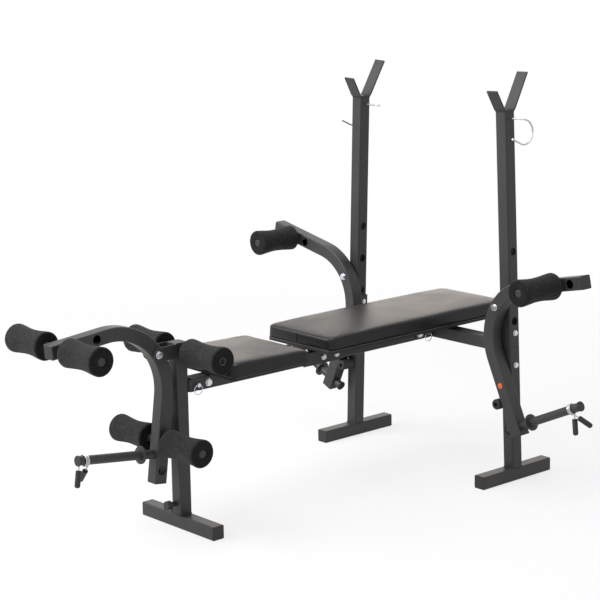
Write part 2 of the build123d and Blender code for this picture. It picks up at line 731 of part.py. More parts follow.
both_sides("backrest_buffers", [rod((back_bar_x, 0, bar_low), (0, 0, -1), buffer_dia, buffer_thk)])

# ---------------------------------------------------------------- front leg
post = square_tube((0, post_y, tube_size), (0, 0, 1), (1, 0, 0), post_top - tube_size)
post -= rod((-tube_size, post_y, knee_bar_z), (1, 0, 0), bar_dia + 2 * hole_gap, 2 * tube_size)
base_hole = rod((base_bolt_x, post_front - 1, base_bolt_z), (0, 1, 0), leg_bolt_dia + 2 * bore_gap, tube_size + 2)
post -= base_hole
post_cap = end_cap((0, post_y, post_top), (0, 0, 1), (1, 0, 0))
post_cap -= rod((-tube_size, post_y, knee_bar_z), (1, 0, 0), bar_dia + 2, 2 * tube_size)
add("front_post", post)
foot = square_tube((-front_foot_len / 2, post_y, half), (1, 0, 0), (0, 1, 0), front_foot_len)
angle_bolt_x = -half - base_angle_len / 2
foot -= rod((angle_bolt_x, post_y, -1), (0, 0, 1), leg_bolt_dia + 2 * bore_gap, tube_size + 2)
foot -= rod((angle_bolt_x, post_y, -1), (0, 0, 1), 2.4 * leg_bolt_dia, tube_wall + 1.5)
add("front_foot", foot)
add("front_caps", post_cap)
both_sides("front_caps", [end_cap((front_foot_len / 2, post_y, half), (1, 0, 0), (0, 1, 0))])

# angle bracket at the post's base, on its left
angle = box((-half - base_angle_len, post_y - half, tube_size), (-half, post_y + half, tube_size + plate_thk))
angle += box((-half - plate_thk, post_y - half, tube_size), (-half, post_y + half, tube_size + base_angle_high))
angle = fillet(angle.edges().filter_by(Axis.Y).sort_by_distance((-half - plate_thk, post_y, tube_size + plate_thk))[0],
               plate_thk / 2)
angle -= rod((angle_bolt_x, post_y, 0), (0, 0, 1), leg_bolt_dia + 2 * bore_gap, 2 * tube_size)
add("base_angle", angle)
add("front_fasteners", *bolt_set((angle_bolt_x, post_y, tube_size + plate_thk), (0, 0, -1), leg_bolt_dia,
                                 plate_thk + tube_wall))

# knob on a stud through the post's base, with a washer and a nut
knob_front = (base_bolt_x, post_front - washer_thk - knob_reach, base_bolt_z)
knob = fillet(rod(knob_front, (0, 1, 0), knob_dia, knob_len).edges(), knob_len / 8)
knob += rod(knob_front, (0, 1, 0), knob_neck_dia, knob_reach)
stud_start = (base_bolt_x, knob_front[1] + cap_lip, base_bolt_z)
knob -= rod(stud_start, (0, 1, 0), leg_bolt_dia + 2 * bore_gap, knob_reach)
add("base_knob", knob)
_, stud_washer, stud_nut = bolt_set((base_bolt_x, post_front, base_bolt_z), (0, 1, 0), leg_bolt_dia, tube_size)
stud_len = post_rear + nut_thk * leg_bolt_dia + tip_len - stud_start[1]
add("front_fasteners", rod(stud_start, (0, 1, 0), leg_bolt_dia, stud_len), stud_washer, stud_nut)

# bracket that carries the lever's pivot
u_bracket("lever_bracket", post_front, -1, lever_pivot, lever_ear_high / 2, lever_ear_high,
          ((lever_pivot, pivot_dia),))
ear_grip = 2 * plate_out
add("front_fasteners", *bolt_set((plate_out, *lever_pivot), (-1, 0, 0), pivot_dia, ear_grip))
add("front_fasteners", *bolt_set((plate_out, *front_bolt), (-1, 0, 0), fold_bolt_dia, ear_grip))

# ---------------------------------------------------------------- foam bars across the bench


def foam_bar(bar_name, foam_name, y, z, start):
    """Round bar across the mid-plane with a foam sleeve near each end."""
    reach = start + foam_len - foam_recess
    add(bar_name, pipe((-reach, y, z), (1, 0, 0), bar_dia, bar_dia - 2 * bar_wall, 2 * reach))
    foam = foam_roller((start, y, z), (1, 0, 0), bar_dia + 2 * foam_gap)
    both_sides(foam_name, solids_of(foam))


foam_bar("knee_bar", "knee_rollers", post_y, knee_bar_z, knee_start)

# ---------------------------------------------------------------- leg lever


def in_mid_plane(y, z):
    """Point of the lever's plane."""
    return Vector(0, y, z)


lever_bend = 90 + lever_lean + lever_droop
lever, low_end, low_dir, high_end, high_dir = bent_tube(
    in_mid_plane, (1, 0, 0), lever_pivot, lever_pivot_at, lever_bend_r, 1, -lever_lean, lever_bend,
    lever_low_len, lever_high_len)
curl_at = along(high_end, high_dir, lever_bar_from_tip)
curl_hole = along(high_end, high_dir, lever_bar_from_tip + lever_hole_from_bar)
ankle_at = along(low_end, low_dir, lever_low_bar_up)
ankle_hole = along(low_end, low_dir, lever_low_hole_up)
lever_bush = rod((-inner_half - tube_wall / 2, *lever_pivot), (1, 0, 0), bush_dia, 2 * inner_half + tube_wall)
lever += lever_bush
lever -= rod((-tube_size, *lever_pivot), (1, 0, 0), pivot_dia + 2 * bore_gap, 2 * tube_size)
for at in (curl_at, curl_hole, ankle_at, ankle_hole):
    lever -= rod((-tube_size, *at), (1, 0, 0), bar_hole_dia, 2 * tube_size)
peg_root = along(low_end, low_dir, lever_peg_up)
peg_dir = (0, low_dir[1], -low_dir[0])
peg_start = in_mid_plane(*peg_root)
lever -= rod(peg_start, peg_dir, peg_dia + 2 * bore_gap, tube_size)
add("lever_tube", *solids_of(lever))
add("lever_caps", end_cap(in_mid_plane(*low_end), (0, *low_dir), (1, 0, 0)))
add("lever_caps", end_cap(in_mid_plane(*high_end), (0, *high_dir), (1, 0, 0)))
add("lever_peg", peg_set(peg_start, peg_dir, 0, lever_peg_len, lever_peg_flange))
peg_unit = Vector(*peg_dir).normalized()
lever_peg_tip = peg_start + peg_unit * (half + lever_peg_len)
add("lever_caps", peg_cap(lever_peg_tip, peg_unit))
foam_bar("curl_bar", "curl_rollers", *curl_at, curl_start)
foam_bar("ankle_bar", "ankle_rollers", *ankle_at, ankle_start)
wire, grips = spring_collar(lever_peg_tip - peg_unit * lever_collar_from_end, peg_unit, lever_tail_leans)
add("lever_collar_spring", *wire)
add("lever_collar_grips", *grips)

# ---------------------------------------------------------------- fly arms


def in_arm_plane(x, z):
    """Point of the arm's plane."""
    return Vector(x, arm_y, z)


arm_bend = 90 + arm_low_lean - arm_high_rise
arm, arm_low, arm_low_dir, arm_high, arm_high_dir = bent_tube(
    in_arm_plane, (0, 1, 0), arm_pivot, arm_pivot_at, arm_bend_r, -1, 180 + arm_low_lean, arm_bend,
    arm_low_len, arm_high_len)
arm_inner_y = arm_y - inner_half - tube_wall / 2
arm += rod((arm_pivot[0], arm_inner_y, arm_pivot[1]), (0, 1, 0), bush_dia, 2 * inner_half + tube_wall)
arm -= rod((arm_pivot[0], arm_y - tube_size, arm_pivot[1]), (0, 1, 0), pivot_dia + 2 * bore_gap, 2 * tube_size)
arm_holes = [along(arm_high, arm_high_dir, arm_high_len - step) for step in arm_hole_steps]
for x, z in arm_holes:
    arm -= rod((x, arm_y - tube_size, z), (0, 1, 0), bar_hole_dia, 2 * tube_size)
arm_root = along(arm_low, arm_low_dir, arm_peg_up)
arm_peg_dir = Vector(-arm_low_dir[1], 0, arm_low_dir[0])
arm_peg_root = in_arm_plane(*arm_root)
arm -= rod(arm_peg_root - arm_peg_dir * tube_size, arm_peg_dir, peg_dia + 2 * bore_gap, 2 * tube_size)
arm_nodes = {"tube": solids_of(arm)}
arm_nodes["peg"] = [peg_set(arm_peg_root, arm_peg_dir, half + arm_peg_inner, arm_peg_len, arm_peg_flange)]
arm_peg_tip = arm_peg_root + arm_peg_dir * (half + arm_peg_len)
cap_low = end_cap(in_arm_plane(*arm_low), (arm_low_dir[0], 0, arm_low_dir[1]), (0, 1, 0))
cap_low -= rod(arm_peg_root - arm_peg_dir * tube_size, arm_peg_dir, peg_dia + 1, 2 * tube_size)
arm_nodes["caps"] = [
    cap_low,
    end_cap(in_arm_plane(*arm_high), (arm_high_dir[0], 0, arm_high_dir[1]), (0, 1, 0)),
    peg_cap(arm_peg_tip, arm_peg_dir),
    peg_cap(arm_peg_root - arm_peg_dir * (half + arm_peg_inner), -arm_peg_dir)]
bar_x, bar_z = arm_holes[arm_bar_step]
arm_bar_len = arm_foam_start + foam_len - foam_recess + tube_size
arm_nodes["bar"] = [pipe((bar_x, arm_y + half, bar_z), (0, -1, 0), bar_dia, bar_dia - 2 * bar_wall, arm_bar_len)]
arm_nodes["roller"] = solids_of(foam_roller((bar_x, arm_front - arm_foam_start, bar_z), (0, -1, 0),
                                            bar_dia + 2 * foam_gap))
wire, grips = spring_collar(arm_peg_tip - arm_peg_dir * arm_collar_from_end, arm_peg_dir, arm_tail_leans)
arm_nodes["collar_spring"] = wire
arm_nodes["collar_grips"] = grips
for name, solids in arm_nodes.items():
    add("arm_" + name + "_right", *solids)
    add("arm_" + name + "_left", *mirrored(solids))

# ---------------------------------------------------------------- rear frame fasteners
rear_bolts = bolt_set((arm_pivot[0], arm_front, arm_pivot[1]), (0, 1, 0), pivot_dia, half - arm_front)
rear_bolts.append(pipe((arm_pivot[0], -half - arm_gap + insert_gap, arm_pivot[1]), (0, 1, 0), 2 * pivot_dia,
                       pivot_dia + 2 * bore_gap, arm_gap - insert_gap))
for at in leg_bolt_along:
    rear_bolts += bolt_set(on_leg(at, half), -leg_x, leg_bolt_dia, tube_size + end_plate_thk)
rear_bolts.append(bumper_screw)
both_sides("rear_fasteners", rear_bolts)
add("rear_fasteners", *bolt_set((plate_out, *rear_bolt), (-1, 0, 0), fold_bolt_dia, ear_grip))

# ---------------------------------------------------------------- write the nodes
# The origin moves to the middle of the bench's length, on the floor.
nodes = {name: [s for solid in solids for s in solids_of(solid)] for name, solids in nodes.items()}
limits = [s.bounding_box() for solids in nodes.values() for s in solids]
middle_y = (min(b.min.Y for b in limits) + max(b.max.Y for b in limits)) / 2
for name, solids in nodes.items():
    placed = [Pos(0, -middle_y, 0) * s for s in solids]
    export_step(placed[0] if len(placed) == 1 else Compound(children=placed), "parts/" + name + ".step")
print(len(nodes), "nodes, the uprights' plane at y =", round(-middle_y, 3))
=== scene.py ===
import math

import bmesh
import bpy
from mathutils import Matrix, Vector, noise


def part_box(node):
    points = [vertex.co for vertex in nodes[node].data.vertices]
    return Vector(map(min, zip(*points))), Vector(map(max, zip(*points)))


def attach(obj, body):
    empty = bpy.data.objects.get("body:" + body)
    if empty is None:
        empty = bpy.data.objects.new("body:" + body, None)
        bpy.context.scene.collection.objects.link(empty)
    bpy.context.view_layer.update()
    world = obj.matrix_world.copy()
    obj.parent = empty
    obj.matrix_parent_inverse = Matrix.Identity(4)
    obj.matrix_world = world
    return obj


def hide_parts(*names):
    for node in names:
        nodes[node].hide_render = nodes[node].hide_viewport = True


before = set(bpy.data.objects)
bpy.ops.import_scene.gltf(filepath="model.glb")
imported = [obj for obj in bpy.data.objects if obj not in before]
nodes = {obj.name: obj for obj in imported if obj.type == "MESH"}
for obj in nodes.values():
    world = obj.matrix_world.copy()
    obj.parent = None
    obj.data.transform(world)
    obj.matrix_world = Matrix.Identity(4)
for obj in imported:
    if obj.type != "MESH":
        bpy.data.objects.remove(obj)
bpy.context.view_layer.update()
scene = bpy.context.scene

# ------------------------------------------------------------------ sizes, in metres
SIDES = ((1, "right"), (-1, "left"))
UPRIGHT_Y = sum(corner.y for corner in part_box("upright_right")) / 2

# square tube
TUBE = 0.040
TUBE_CORNER = 0.004
PROUD = 0.0005          # how far a bead's centre stands off the tube's face

# foam rollers, the bars through them and the plugs in the bars' ends
FOAM_LENGTH = 0.147
FOAM_BORE = 0.0126
FOAM_END_RADIUS = 0.0400
FOAM_WAIST_RADIUS = 0.0348
FOAM_RIM = 0.0055
BAR_RADIUS = 0.0125
BAR_BORE = 0.0108
FOAM_PLUG_REACH = 0.0085
BAR_PLUG_REACH = 0.0026
KNEE_PLUG_HOLE = 0.0080

# rear frame: the legs lean in from the feet and carry the uprights
SPLAY = math.radians(2.26)
FOOT_X = 0.349
LEG_TOP = 0.370
UPRIGHT_TOP = 1.0748

# fly arms, from the centre of their lower ends
ARM_LEAN = math.radians(24.5)
ARM_LOW_END_X, ARM_LOW_END_Z = 0.41855, 0.16146
ARM_Y = UPRIGHT_Y - 0.044
ARM_FRONT_Y = UPRIGHT_Y - 0.064
ARM_PEG_UP = 0.025
ARM_FLANGE_OUT = 0.0557
ARM_PLUG_UP = 0.1555

# leg lever, from the centre of its lower end
LEVER_LEAN = math.radians(7.5)
LEVER_LOW_END_Y, LEVER_LOW_END_Z = UPRIGHT_Y - 1.08327, 0.15173
LEVER_PEG_UP = 0.080
LEVER_FLANGE_OUT = 0.0627

# weld beads
WELD_RADIUS = 0.0016
BRACKET_WELD_RADIUS = 0.0013
PEG_WELD_RADIUS = 0.0134
WELD_RIPPLE, WELD_PITCH = 0.14, 0.0038
LINE_SPACING = 0.0016
BRACKET_HALF_WEB = 0.0188

# pads
PAD_ROUND = 0.008       # round of the top edge
PAD_SHRINK = 0.0012     # the skin starts this much smaller than its space
PAD_VOXEL = 0.0045
PAD_SWELL = 0.0012      # furthest that a point moves as the pad fills
SEAT_CORNER, BACK_CORNER = 0.015, 0.024
SEAT_WRAP, BACK_WRAP = 0.0085, 0.0      # how far the vinyl hangs over the board's edge
SEAT_CROWN, BACK_CROWN = 0.0015, 0.0030
SEAT_TILT = (0.0055, -0.0010)           # lift of the top at the front and at the rear


# ------------------------------------------------------------------ finishes
class Field:
    """One node socket, with arithmetic that adds Math nodes."""

    def __init__(self, finish, socket):
        self.finish = finish
        self.socket = socket

    def math(self, operation, first, second):
        return self.finish.node("ShaderNodeMath", {"operation": operation}, {0: first, 1: second})

    def __add__(self, other):
        return self.math("ADD", self, other)

    def __radd__(self, other):
        return self.math("ADD", other, self)

    def __sub__(self, other):
        return self.math("SUBTRACT", self, other)

    def __rsub__(self, other):
        return self.math("SUBTRACT", other, self)

    def __mul__(self, other):
        return self.math("MULTIPLY", self, other)

    def __rmul__(self, other):
        return self.math("MULTIPLY", other, self)


class Finish:
    """A material around one Principled shader."""

    def __init__(self, name, **constants):
        self.material = bpy.data.materials.new(name)
        self.material.use_nodes = True
        self.tree = self.material.node_tree
        self.shader = self.tree.nodes["Principled BSDF"]
        for socket, value in constants.items():
            self.shader.inputs[socket.replace("_", " ")].default_value = value

    def node(self, kind, settings, values, out=0):
        """Add a node: its settings first, then the values or links of its sockets."""
        made = self.tree.nodes.new(kind)
        for key, value in settings.items():
            setattr(made, key, value)
        for key, value in values.items():
            if isinstance(value, Field):
                self.tree.links.new(value.socket, made.inputs[key])
            else:
                made.inputs[key].default_value = value
        return Field(self, made.outputs[out])

    def place(self, stretch=(1, 1, 1)):
        here = self.node("ShaderNodeTexCoord", {}, {}, "Object")
        return self.node("ShaderNodeMapping", {}, {"Vector": here, "Scale": stretch})

    def cloud(self, scale, detail, rough=0.5, stretch=(1, 1, 1)):
        return self.node("ShaderNodeTexNoise", {}, {"Vector": self.place(stretch), "Scale": scale,
                                                    "Detail": detail, "Roughness": rough})

    def cells(self, scale, feature="F1"):
        return self.node("ShaderNodeTexVoronoi", {"feature": feature},
                         {"Vector": self.place(), "Scale": scale, "Randomness": 1.0})

    def band(self, field, low, high):
        return self.node("ShaderNodeMapRange", {"interpolation_type": "SMOOTHSTEP"},
                         {"Value": field, "From Min": low, "From Max": high})

    def tint(self, mask, dark, light):
        return self.node("ShaderNodeMix", {"data_type": "RGBA"},
                         {0: mask, 6: (*dark, 1), 7: (*light, 1)}, 2)

    def colour(self, value):
        self.tree.links.new(value.socket, self.shader.inputs["Base Color"])

    def roughness(self, value):
        self.tree.links.new(value.socket, self.shader.inputs["Roughness"])

    def relief(self, height, depth, strength, edge=None):
        """Bump of a height field, over edges softened by a small radius where one is given."""
        values = {"Height": height, "Distance": depth, "Strength": strength}
        if edge:
            values["Normal"] = self.node("ShaderNodeBevel", {"samples": 4}, {"Radius": edge})
        bump = self.node("ShaderNodeBump", {}, values)
        self.tree.links.new(bump.socket, self.shader.inputs["Normal"])


def powder_coat(name, dark, light, gloss):
    """Satin black powder coat: orange peel, faint handling marks and a soft break at the edges."""
    coat = Finish(name, IOR=1.5, Specular_IOR_Level=0.35)
    patches = coat.cloud(9.0, 3.0, 0.6)
    specks = coat.band(coat.cloud(900.0, 1.0), 0.62, 0.72)
    rubs = coat.band(coat.cloud(40.0, 4.0, 0.7, (1, 1, 0.25)), 0.58, 0.78)
    coat.colour(coat.tint(patches * 0.6 + specks * 0.25 + rubs * 0.3, dark, light))
    coat.roughness(gloss + patches * 0.08 + rubs * 0.1 - specks * 0.05)
    coat.relief(coat.cloud(420.0, 2.0) * 0.8 + coat.cloud(1700.0, 1.0) * 0.3, 0.00012, 0.35, 0.0007)
    return coat.material


def foam(name, dark, light):
    """Closed-cell black foam: fine open pores, a dull skin and faint dust."""
    skin = Finish(name, IOR=1.35, Specular_IOR_Level=0.12, Sheen_Weight=0.06, Sheen_Roughness=0.6)
    pores = skin.cells(520.0)
    lumps = skin.cloud(170.0, 4.0, 0.7)
    dust = skin.band(skin.cloud(22.0, 5.0, 0.7), 0.45, 0.75)
    grain = skin.band(lumps, 0.38, 0.64)
    skin.colour(skin.tint(dust * 0.3 + grain * 0.6 + pores * 0.2, dark, light))
    skin.roughness(0.82 + lumps * 0.15)
    skin.relief(pores * 0.6 + lumps * 0.9, 0.0009, 0.8)
    return skin.material


def vinyl(name, dark, light, gloss):
    """Pebble-grained black vinyl over foam padding."""
    hide = Finish(name, IOR=1.5, Specular_IOR_Level=0.25)
    pebbles = hide.cells(620.0, "DISTANCE_TO_EDGE")
    creases = hide.band(pebbles, 0.0, 0.16)
    wander = hide.cloud(85.0, 4.0, 0.6)
    worn = hide.band(hide.cloud(7.0, 3.0, 0.55), 0.4, 0.75)
    hide.colour(hide.tint(creases * 0.55 + worn * 0.3, dark, light))
    hide.roughness(gloss + worn * 0.06 - creases * 0.07 + wander * 0.05)
    hide.relief(creases * 0.7 + wander * 0.2, 0.00014, 0.3)
    return hide.material


def moulded(name, dark, light, gloss, grain=1300.0):
    """Moulded black plastic or rubber with a fine spark-eroded texture."""
    shell = Finish(name, IOR=1.46, Specular_IOR_Level=0.45)
    grit = shell.cloud(grain, 2.0)
    flow = shell.cloud(55.0, 3.0, 0.5)
    shell.colour(shell.tint(flow * 0.6 + grit * 0.3, dark, light))
    shell.roughness(gloss + flow * 0.12)
    shell.relief(grit, 0.00012, 0.45, 0.0006)
    return shell.material


def zinc_plate(name, bright, dull, gloss):
    """Bright zinc plating: clouded, with fine drawn scratches."""
    plate = Finish(name, Metallic=1.0)
    haze = plate.cloud(160.0, 4.0, 0.6)
    scratches = plate.cloud(900.0, 2.0, 0.5, (1, 1, 0.08))
    stain = plate.band(plate.cloud(70.0, 3.0), 0.55, 0.8)
    plate.colour(plate.tint(stain * 0.5 + haze * 0.3, bright, dull))
    plate.roughness(gloss + haze * 0.12 + stain * 0.12)
    plate.relief(scratches * 0.6 + haze * 0.3, 0.00005, 0.4, 0.0004)
    return plate.material


def backing(name, dark, light):
    """Black-painted plywood edge and underside with a faint grain."""
    board = Finish(name, IOR=1.45, Specular_IOR_Level=0.35)
    grain = board.cloud(60.0, 5.0, 0.65, (1, 0.07, 6))
    fibres = board.cloud(1200.0, 2.0, 0.5, (1, 0.1, 1))
    board.colour(board.tint(grain * 0.7 + fibres * 0.2, dark, light))
    board.roughness(0.5 + grain * 0.2)
    board.relief(grain * 0.5 + fibres * 0.5, 0.00015, 0.5, 0.0008)
    return board.material


# each finish: its name, darkest and lightest colour, roughness and, for moulded ones, grain
coat = powder_coat("powder_coat", (0.024, 0.024, 0.0255), (0.052, 0.052, 0.054), 0.40)
weld_coat = powder_coat("coated_weld", (0.014, 0.014, 0.015), (0.03, 0.03, 0.03), 0.42)
foam_side = foam("foam_side", (0.010, 0.010, 0.0102), (0.037, 0.036, 0.035))
# a darker copy of the foam for the roller ends: painted shade on the end faces
foam_end_painted_shade = foam("foam_end_painted_shade", (0.005, 0.005, 0.005), (0.016, 0.016, 0.016))
pad_vinyl = vinyl("pad_vinyl", (0.007, 0.007, 0.007), (0.015, 0.0145, 0.014), 0.34)
welt_vinyl = vinyl("welt_vinyl", (0.014, 0.014, 0.014), (0.030, 0.029, 0.028), 0.34)
# a lighter copy of the welt vinyl: painted highlight along the backrest's lower edge
welt_painted_highlight = vinyl("welt_painted_highlight", (0.05, 0.05, 0.05), (0.10, 0.098, 0.096), 0.34)
cap_plastic = moulded("cap_plastic", (0.012, 0.012, 0.012), (0.028, 0.028, 0.028), 0.42)
plug_plastic = moulded("plug_plastic", (0.016, 0.016, 0.016), (0.034, 0.034, 0.034), 0.45)
grip_vinyl = moulded("grip_vinyl", (0.010, 0.010, 0.011), (0.022, 0.022, 0.023), 0.34, 700.0)
bumper_rubber = moulded("bumper_rubber", (0.011, 0.011, 0.011), (0.022, 0.022, 0.022), 0.55, 500.0)
zinc = zinc_plate("zinc", (0.66, 0.68, 0.72), (0.40, 0.41, 0.44), 0.20)
spring_steel = zinc_plate("spring_steel", (0.50, 0.51, 0.53), (0.28, 0.285, 0.30), 0.24)
board_black = backing("board_black", (0.010, 0.010, 0.010), (0.026, 0.025, 0.024))
joint_shadow = moulded("joint_shadow", (0.002, 0.002, 0.002), (0.005, 0.005, 0.005), 0.7)
orange_plug = moulded("orange_plug", (0.62, 0.10, 0.012), (0.80, 0.17, 0.025), 0.36)


def finish_for(name):
    """The material of a CAD node."""
    if name.endswith("board"):
        return board_black
    if "caps" in name or name == "base_knob":
        return cap_plastic
    if "grips" in name:
        return grip_vinyl
    if name in ("bumpers", "backrest_buffers"):
        return bumper_rubber
    if "spring" in name or name.startswith("hook"):
        return spring_steel
    if "fasteners" in name or "screws" in name or name.startswith("lock_pin"):
        return zinc
    return coat


SHARP_ANGLE = math.radians(32)
COATED_BELOW = 0.15

for name, node in nodes.items():
    node.data.materials.clear()
    node.data.materials.append(finish_for(name))
    for face in node.data.polygons:
        face.use_smooth = True
    node.data.set_sharp_from_angle(angle=SHARP_ANGLE)

# the fasteners low on the front leg are coated, unlike the bright ones above
low_fasteners = nodes["front_fasteners"].data
low_fasteners.materials.append(coat)
for face in low_fasteners.polygons:
    if face.center.z < COATED_BELOW:
        face.material_index = 1


# ------------------------------------------------------------------ mesh helpers
def new_piece(name, points, faces, material, body):
    """A smooth mesh object on a body."""
    mesh = bpy.data.meshes.new(name)
    mesh.from_pydata([tuple(p) for p in points], [], faces)
    mesh.update()
    for face in mesh.polygons:
        face.use_smooth = True
    mesh.materials.append(material)
    piece = bpy.data.objects.new(name, mesh)
    scene.collection.objects.link(piece)
    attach(piece, body)
    return piece


def basis(axis):
    """A unit axis and two directions across it."""
    axis = Vector(axis).normalized()
    other = Vector((0, 0, 1)) if abs(axis.z) < 0.9 else Vector((1, 0, 0))
    across = axis.cross(other).normalized()
    return axis, across, axis.cross(across)


def round_place(u, v, turn, radius):
    """Offset at an angle and a radius in the plane of two directions."""
    return (u * math.cos(turn) + v * math.sin(turn)) * radius


def lathe(profile, origin, axis, segments):
    """Points and faces of a closed profile of (distance, radius) turned about an axis."""
    axis, u, v = basis(axis)
    points, faces = [], []
    for distance, radius in profile:
        for k in range(segments):
            turn = 2 * math.pi * k / segments
            points.append(Vector(origin) + axis * distance + round_place(u, v, turn, radius))
    rings = len(profile)
    for i in range(rings):
        for k in range(segments):
            near, far = i * segments, (i + 1) % rings * segments
            after = (k + 1) % segments
            faces.append((near + k, near + after, far + after, far + k))
    return points, faces


def capped_lathe(profile, origin, axis, segments):
    """As lathe, with an open profile whose first and last rings are closed by a face."""
    points, faces = lathe(profile, origin, axis, segments)
    faces = faces[:-segments]
    last = (len(profile) - 1) * segments
    faces.append(tuple(range(segments - 1, -1, -1)))
    faces.append(tuple(range(last, last + segments)))
    return points, faces


# ------------------------------------------------------------------ foam rollers
def foam_profile():
    """Half section of a dog-bone foam sleeve, from the bore out over both rims."""
    half, rim_steps, waist_steps = FOAM_LENGTH / 2, 8, 22
    rim = []
    for step in range(rim_steps, -1, -1):
        turn = math.pi / 2 * step / rim_steps
        rim.append((-half + FOAM_RIM * (1 - math.sin(turn)),
                    FOAM_END_RADIUS - FOAM_RIM * (1 - math.cos(turn))))
    cut_face = [(-half + 0.0035, FOAM_BORE), (-half + 0.0012, FOAM_BORE + 0.0016),
                (-half + 0.0003, 0.0175), (-half, 0.0215)]
    start = cut_face + rim
    middle = []
    for step in range(1, waist_steps):
        share = step / waist_steps
        at = -half + FOAM_RIM + share * (FOAM_LENGTH - 2 * FOAM_RIM)
        pinch = math.sin(math.pi * share) ** 1.25
        middle.append((at, FOAM_END_RADIUS - (FOAM_END_RADIUS - FOAM_WAIST_RADIUS) * pinch))
    return start + middle + [(-d, r) for d, r in reversed(start)]


def foam_sleeve(name, centre, axis, body, seed):
    """A foam roller, a little uneven as cut and squeezed foam is."""
    points, faces = lathe(foam_profile(), centre, axis, 72)
    axis = Vector(axis).normalized()
    middle = Vector(centre)
    swell, pits, squeeze, bore_wall = 0.0005, 0.00022, 0.0004, 0.002
    uneven = []
    for point in points:
        along = axis * (point - middle).dot(axis)
        out = point - middle - along
        if out.length > FOAM_BORE + bore_wall:
            wave = noise.noise(point * 28 + Vector((seed * 3.1, 0, 0))) * swell
            wave += noise.noise(point * 95 + Vector((0, seed * 1.7, 0))) * pits
            out = out * (1 + (wave - squeeze) / out.length)
        uneven.append(middle + along + out)
    sleeve = new_piece(name, uneven, faces, foam_side, body)
    # the end faces take the darker foam: painted shade on the roller ends
    sleeve.data.materials.append(foam_end_painted_shade)
    for face in sleeve.data.polygons:
        if abs(face.normal.dot(axis)) > 0.9:
            face.material_index = 1
    return sleeve


def roller_pair(node, body, seed):
    """The two sleeves of a bar across the bench."""
    low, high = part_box(node)
    y, z = (low.y + high.y) / 2, (low.z + high.z) / 2
    made = []
    for side, label in SIDES:
        centre = (side * (high.x - FOAM_LENGTH / 2), y, z)
        made.append(foam_sleeve(f"{node}_{label}_foam", centre, (1, 0, 0), body, seed + side))
    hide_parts(node)
    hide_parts(node)
    return made


foams = []
for node, body, seed in (("knee_rollers", "front_leg", 0), ("curl_rollers", "lever", 5),
                         ("ankle_rollers", "lever", 10)):
    foams += roller_pair(node, body, seed)
for side, seed in (("right", 40), ("left", 47)):
    node = f"arm_roller_{side}"
    low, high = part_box(node)
    sleeve = foam_sleeve(f"{node}_foam", (low + high) / 2, (0, 1, 0), f"{side}_arm", seed)
    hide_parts(node)
    foams.append(sleeve)


# ------------------------------------------------------------------ plugs in the bar ends
def bar_plug(name, end, outward, body, reach=BAR_PLUG_REACH, hole=0.0):
    """Black plastic plug in a round bar's end, standing out by its reach; plain, or with a hole."""
    rim = [(-0.006, BAR_BORE * 0.9), (-0.0005, BAR_BORE), (0.0004, BAR_RADIUS - 0.0006),
           (reach - 0.0008, BAR_RADIUS - 0.0008), (reach, BAR_RADIUS - 0.0020)]
    holed = [(reach, hole + 0.0005), (-0.005, hole)]
    dished = [(reach - 0.0004, 0.006), (reach - 0.0006, 0.0005)]
    face = holed if hole else dished
    points, faces = capped_lathe(rim + face, end, outward, 40)
    new_piece(name, points, faces, plug_plastic, body)


for node, body in (("knee_bar", "front_leg"), ("curl_bar", "lever"), ("ankle_bar", "lever")):
    low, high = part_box(node)
    y, z = (low.y + high.y) / 2, (low.z + high.z) / 2
    hole = KNEE_PLUG_HOLE if node == "knee_bar" else 0.0
    for side, label in SIDES:
        bar_plug(f"{node}_{label}_plug", (side * high.x, y, z), (side, 0, 0), body,
                 FOAM_PLUG_REACH, hole)
for side in ("right", "left"):
    low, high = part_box(f"arm_bar_{side}")
    x, z = (low.x + high.x) / 2, (low.z + high.z) / 2
    bar_plug(f"arm_bar_{side}_front_plug", (x, low.y, z), (0, -1, 0), f"{side}_arm",
             FOAM_PLUG_REACH)
    bar_plug(f"arm_bar_{side}_rear_plug", (x, high.y, z), (0, 1, 0), f"{side}_arm")


# ------------------------------------------------------------------ pads
def rounded_outline(half_x, half_y, corner, steps):
    """Points round a rectangle with round corners, counter-clockwise."""
    line = []
    for cx, cy, start in ((1, 1, 0), (-1, 1, 90), (-1, -1, 180), (1, -1, 270)):
        for k in range(steps + 1):
            turn = math.radians(start + 90 * k / steps)
            line.append((cx * (half_x - corner) + corner * math.cos(turn),
                         cy * (half_y - corner) + corner * math.sin(turn)))
    return line


def pad_start(low, high, corner):
    """A closed block with upright sides and a round top edge, a little smaller than its space."""
    middle = (low + high) / 2
    half_x, half_y = (high.x - low.x) / 2 - PAD_SHRINK, (high.y - low.y) / 2 - PAD_SHRINK
    top = high.z - PAD_SHRINK
    rings = [(0.0015, low.z), (0.0, low.z + 0.002)]
    round_steps = 5
    for step in range(round_steps + 1):
        turn = math.pi / 2 * step / round_steps
        rings.append((PAD_ROUND * (1 - math.cos(turn)), top - PAD_ROUND * (1 - math.sin(turn))))
    points, faces = [], []
    for inset, z in rings:
        line = rounded_outline(half_x - inset, half_y - inset, corner - inset * 0.8, 8)
        points += [Vector((middle.x + x, middle.y + y, z)) for x, y in line]
    count = len(points) // len(rings)
    for i in range(len(rings) - 1):
        for k in range(count):
            a, b = i * count + k, i * count + (k + 1) % count
            faces.append((a, b, b + count, a + count))
    faces.append(tuple(range(count - 1, -1, -1)))
    faces.append(tuple(range(len(points) - count, len(points))))
    return points, faces


def even_mesh(piece, voxel):
    """Remesh a piece to even quads."""
    bpy.context.view_layer.objects.active = piece
    remesh = piece.modifiers.new("even", "REMESH")
    remesh.mode = "VOXEL"
    remesh.voxel_size = voxel
    apply_all(piece)


def apply_all(piece):
    """Bake a piece's modifiers into its mesh."""
    graph = bpy.context.evaluated_depsgraph_get()
    graph.update()
    made = bpy.data.meshes.new_from_object(piece.evaluated_get(graph))
    piece.modifiers.clear()
    piece.data = made


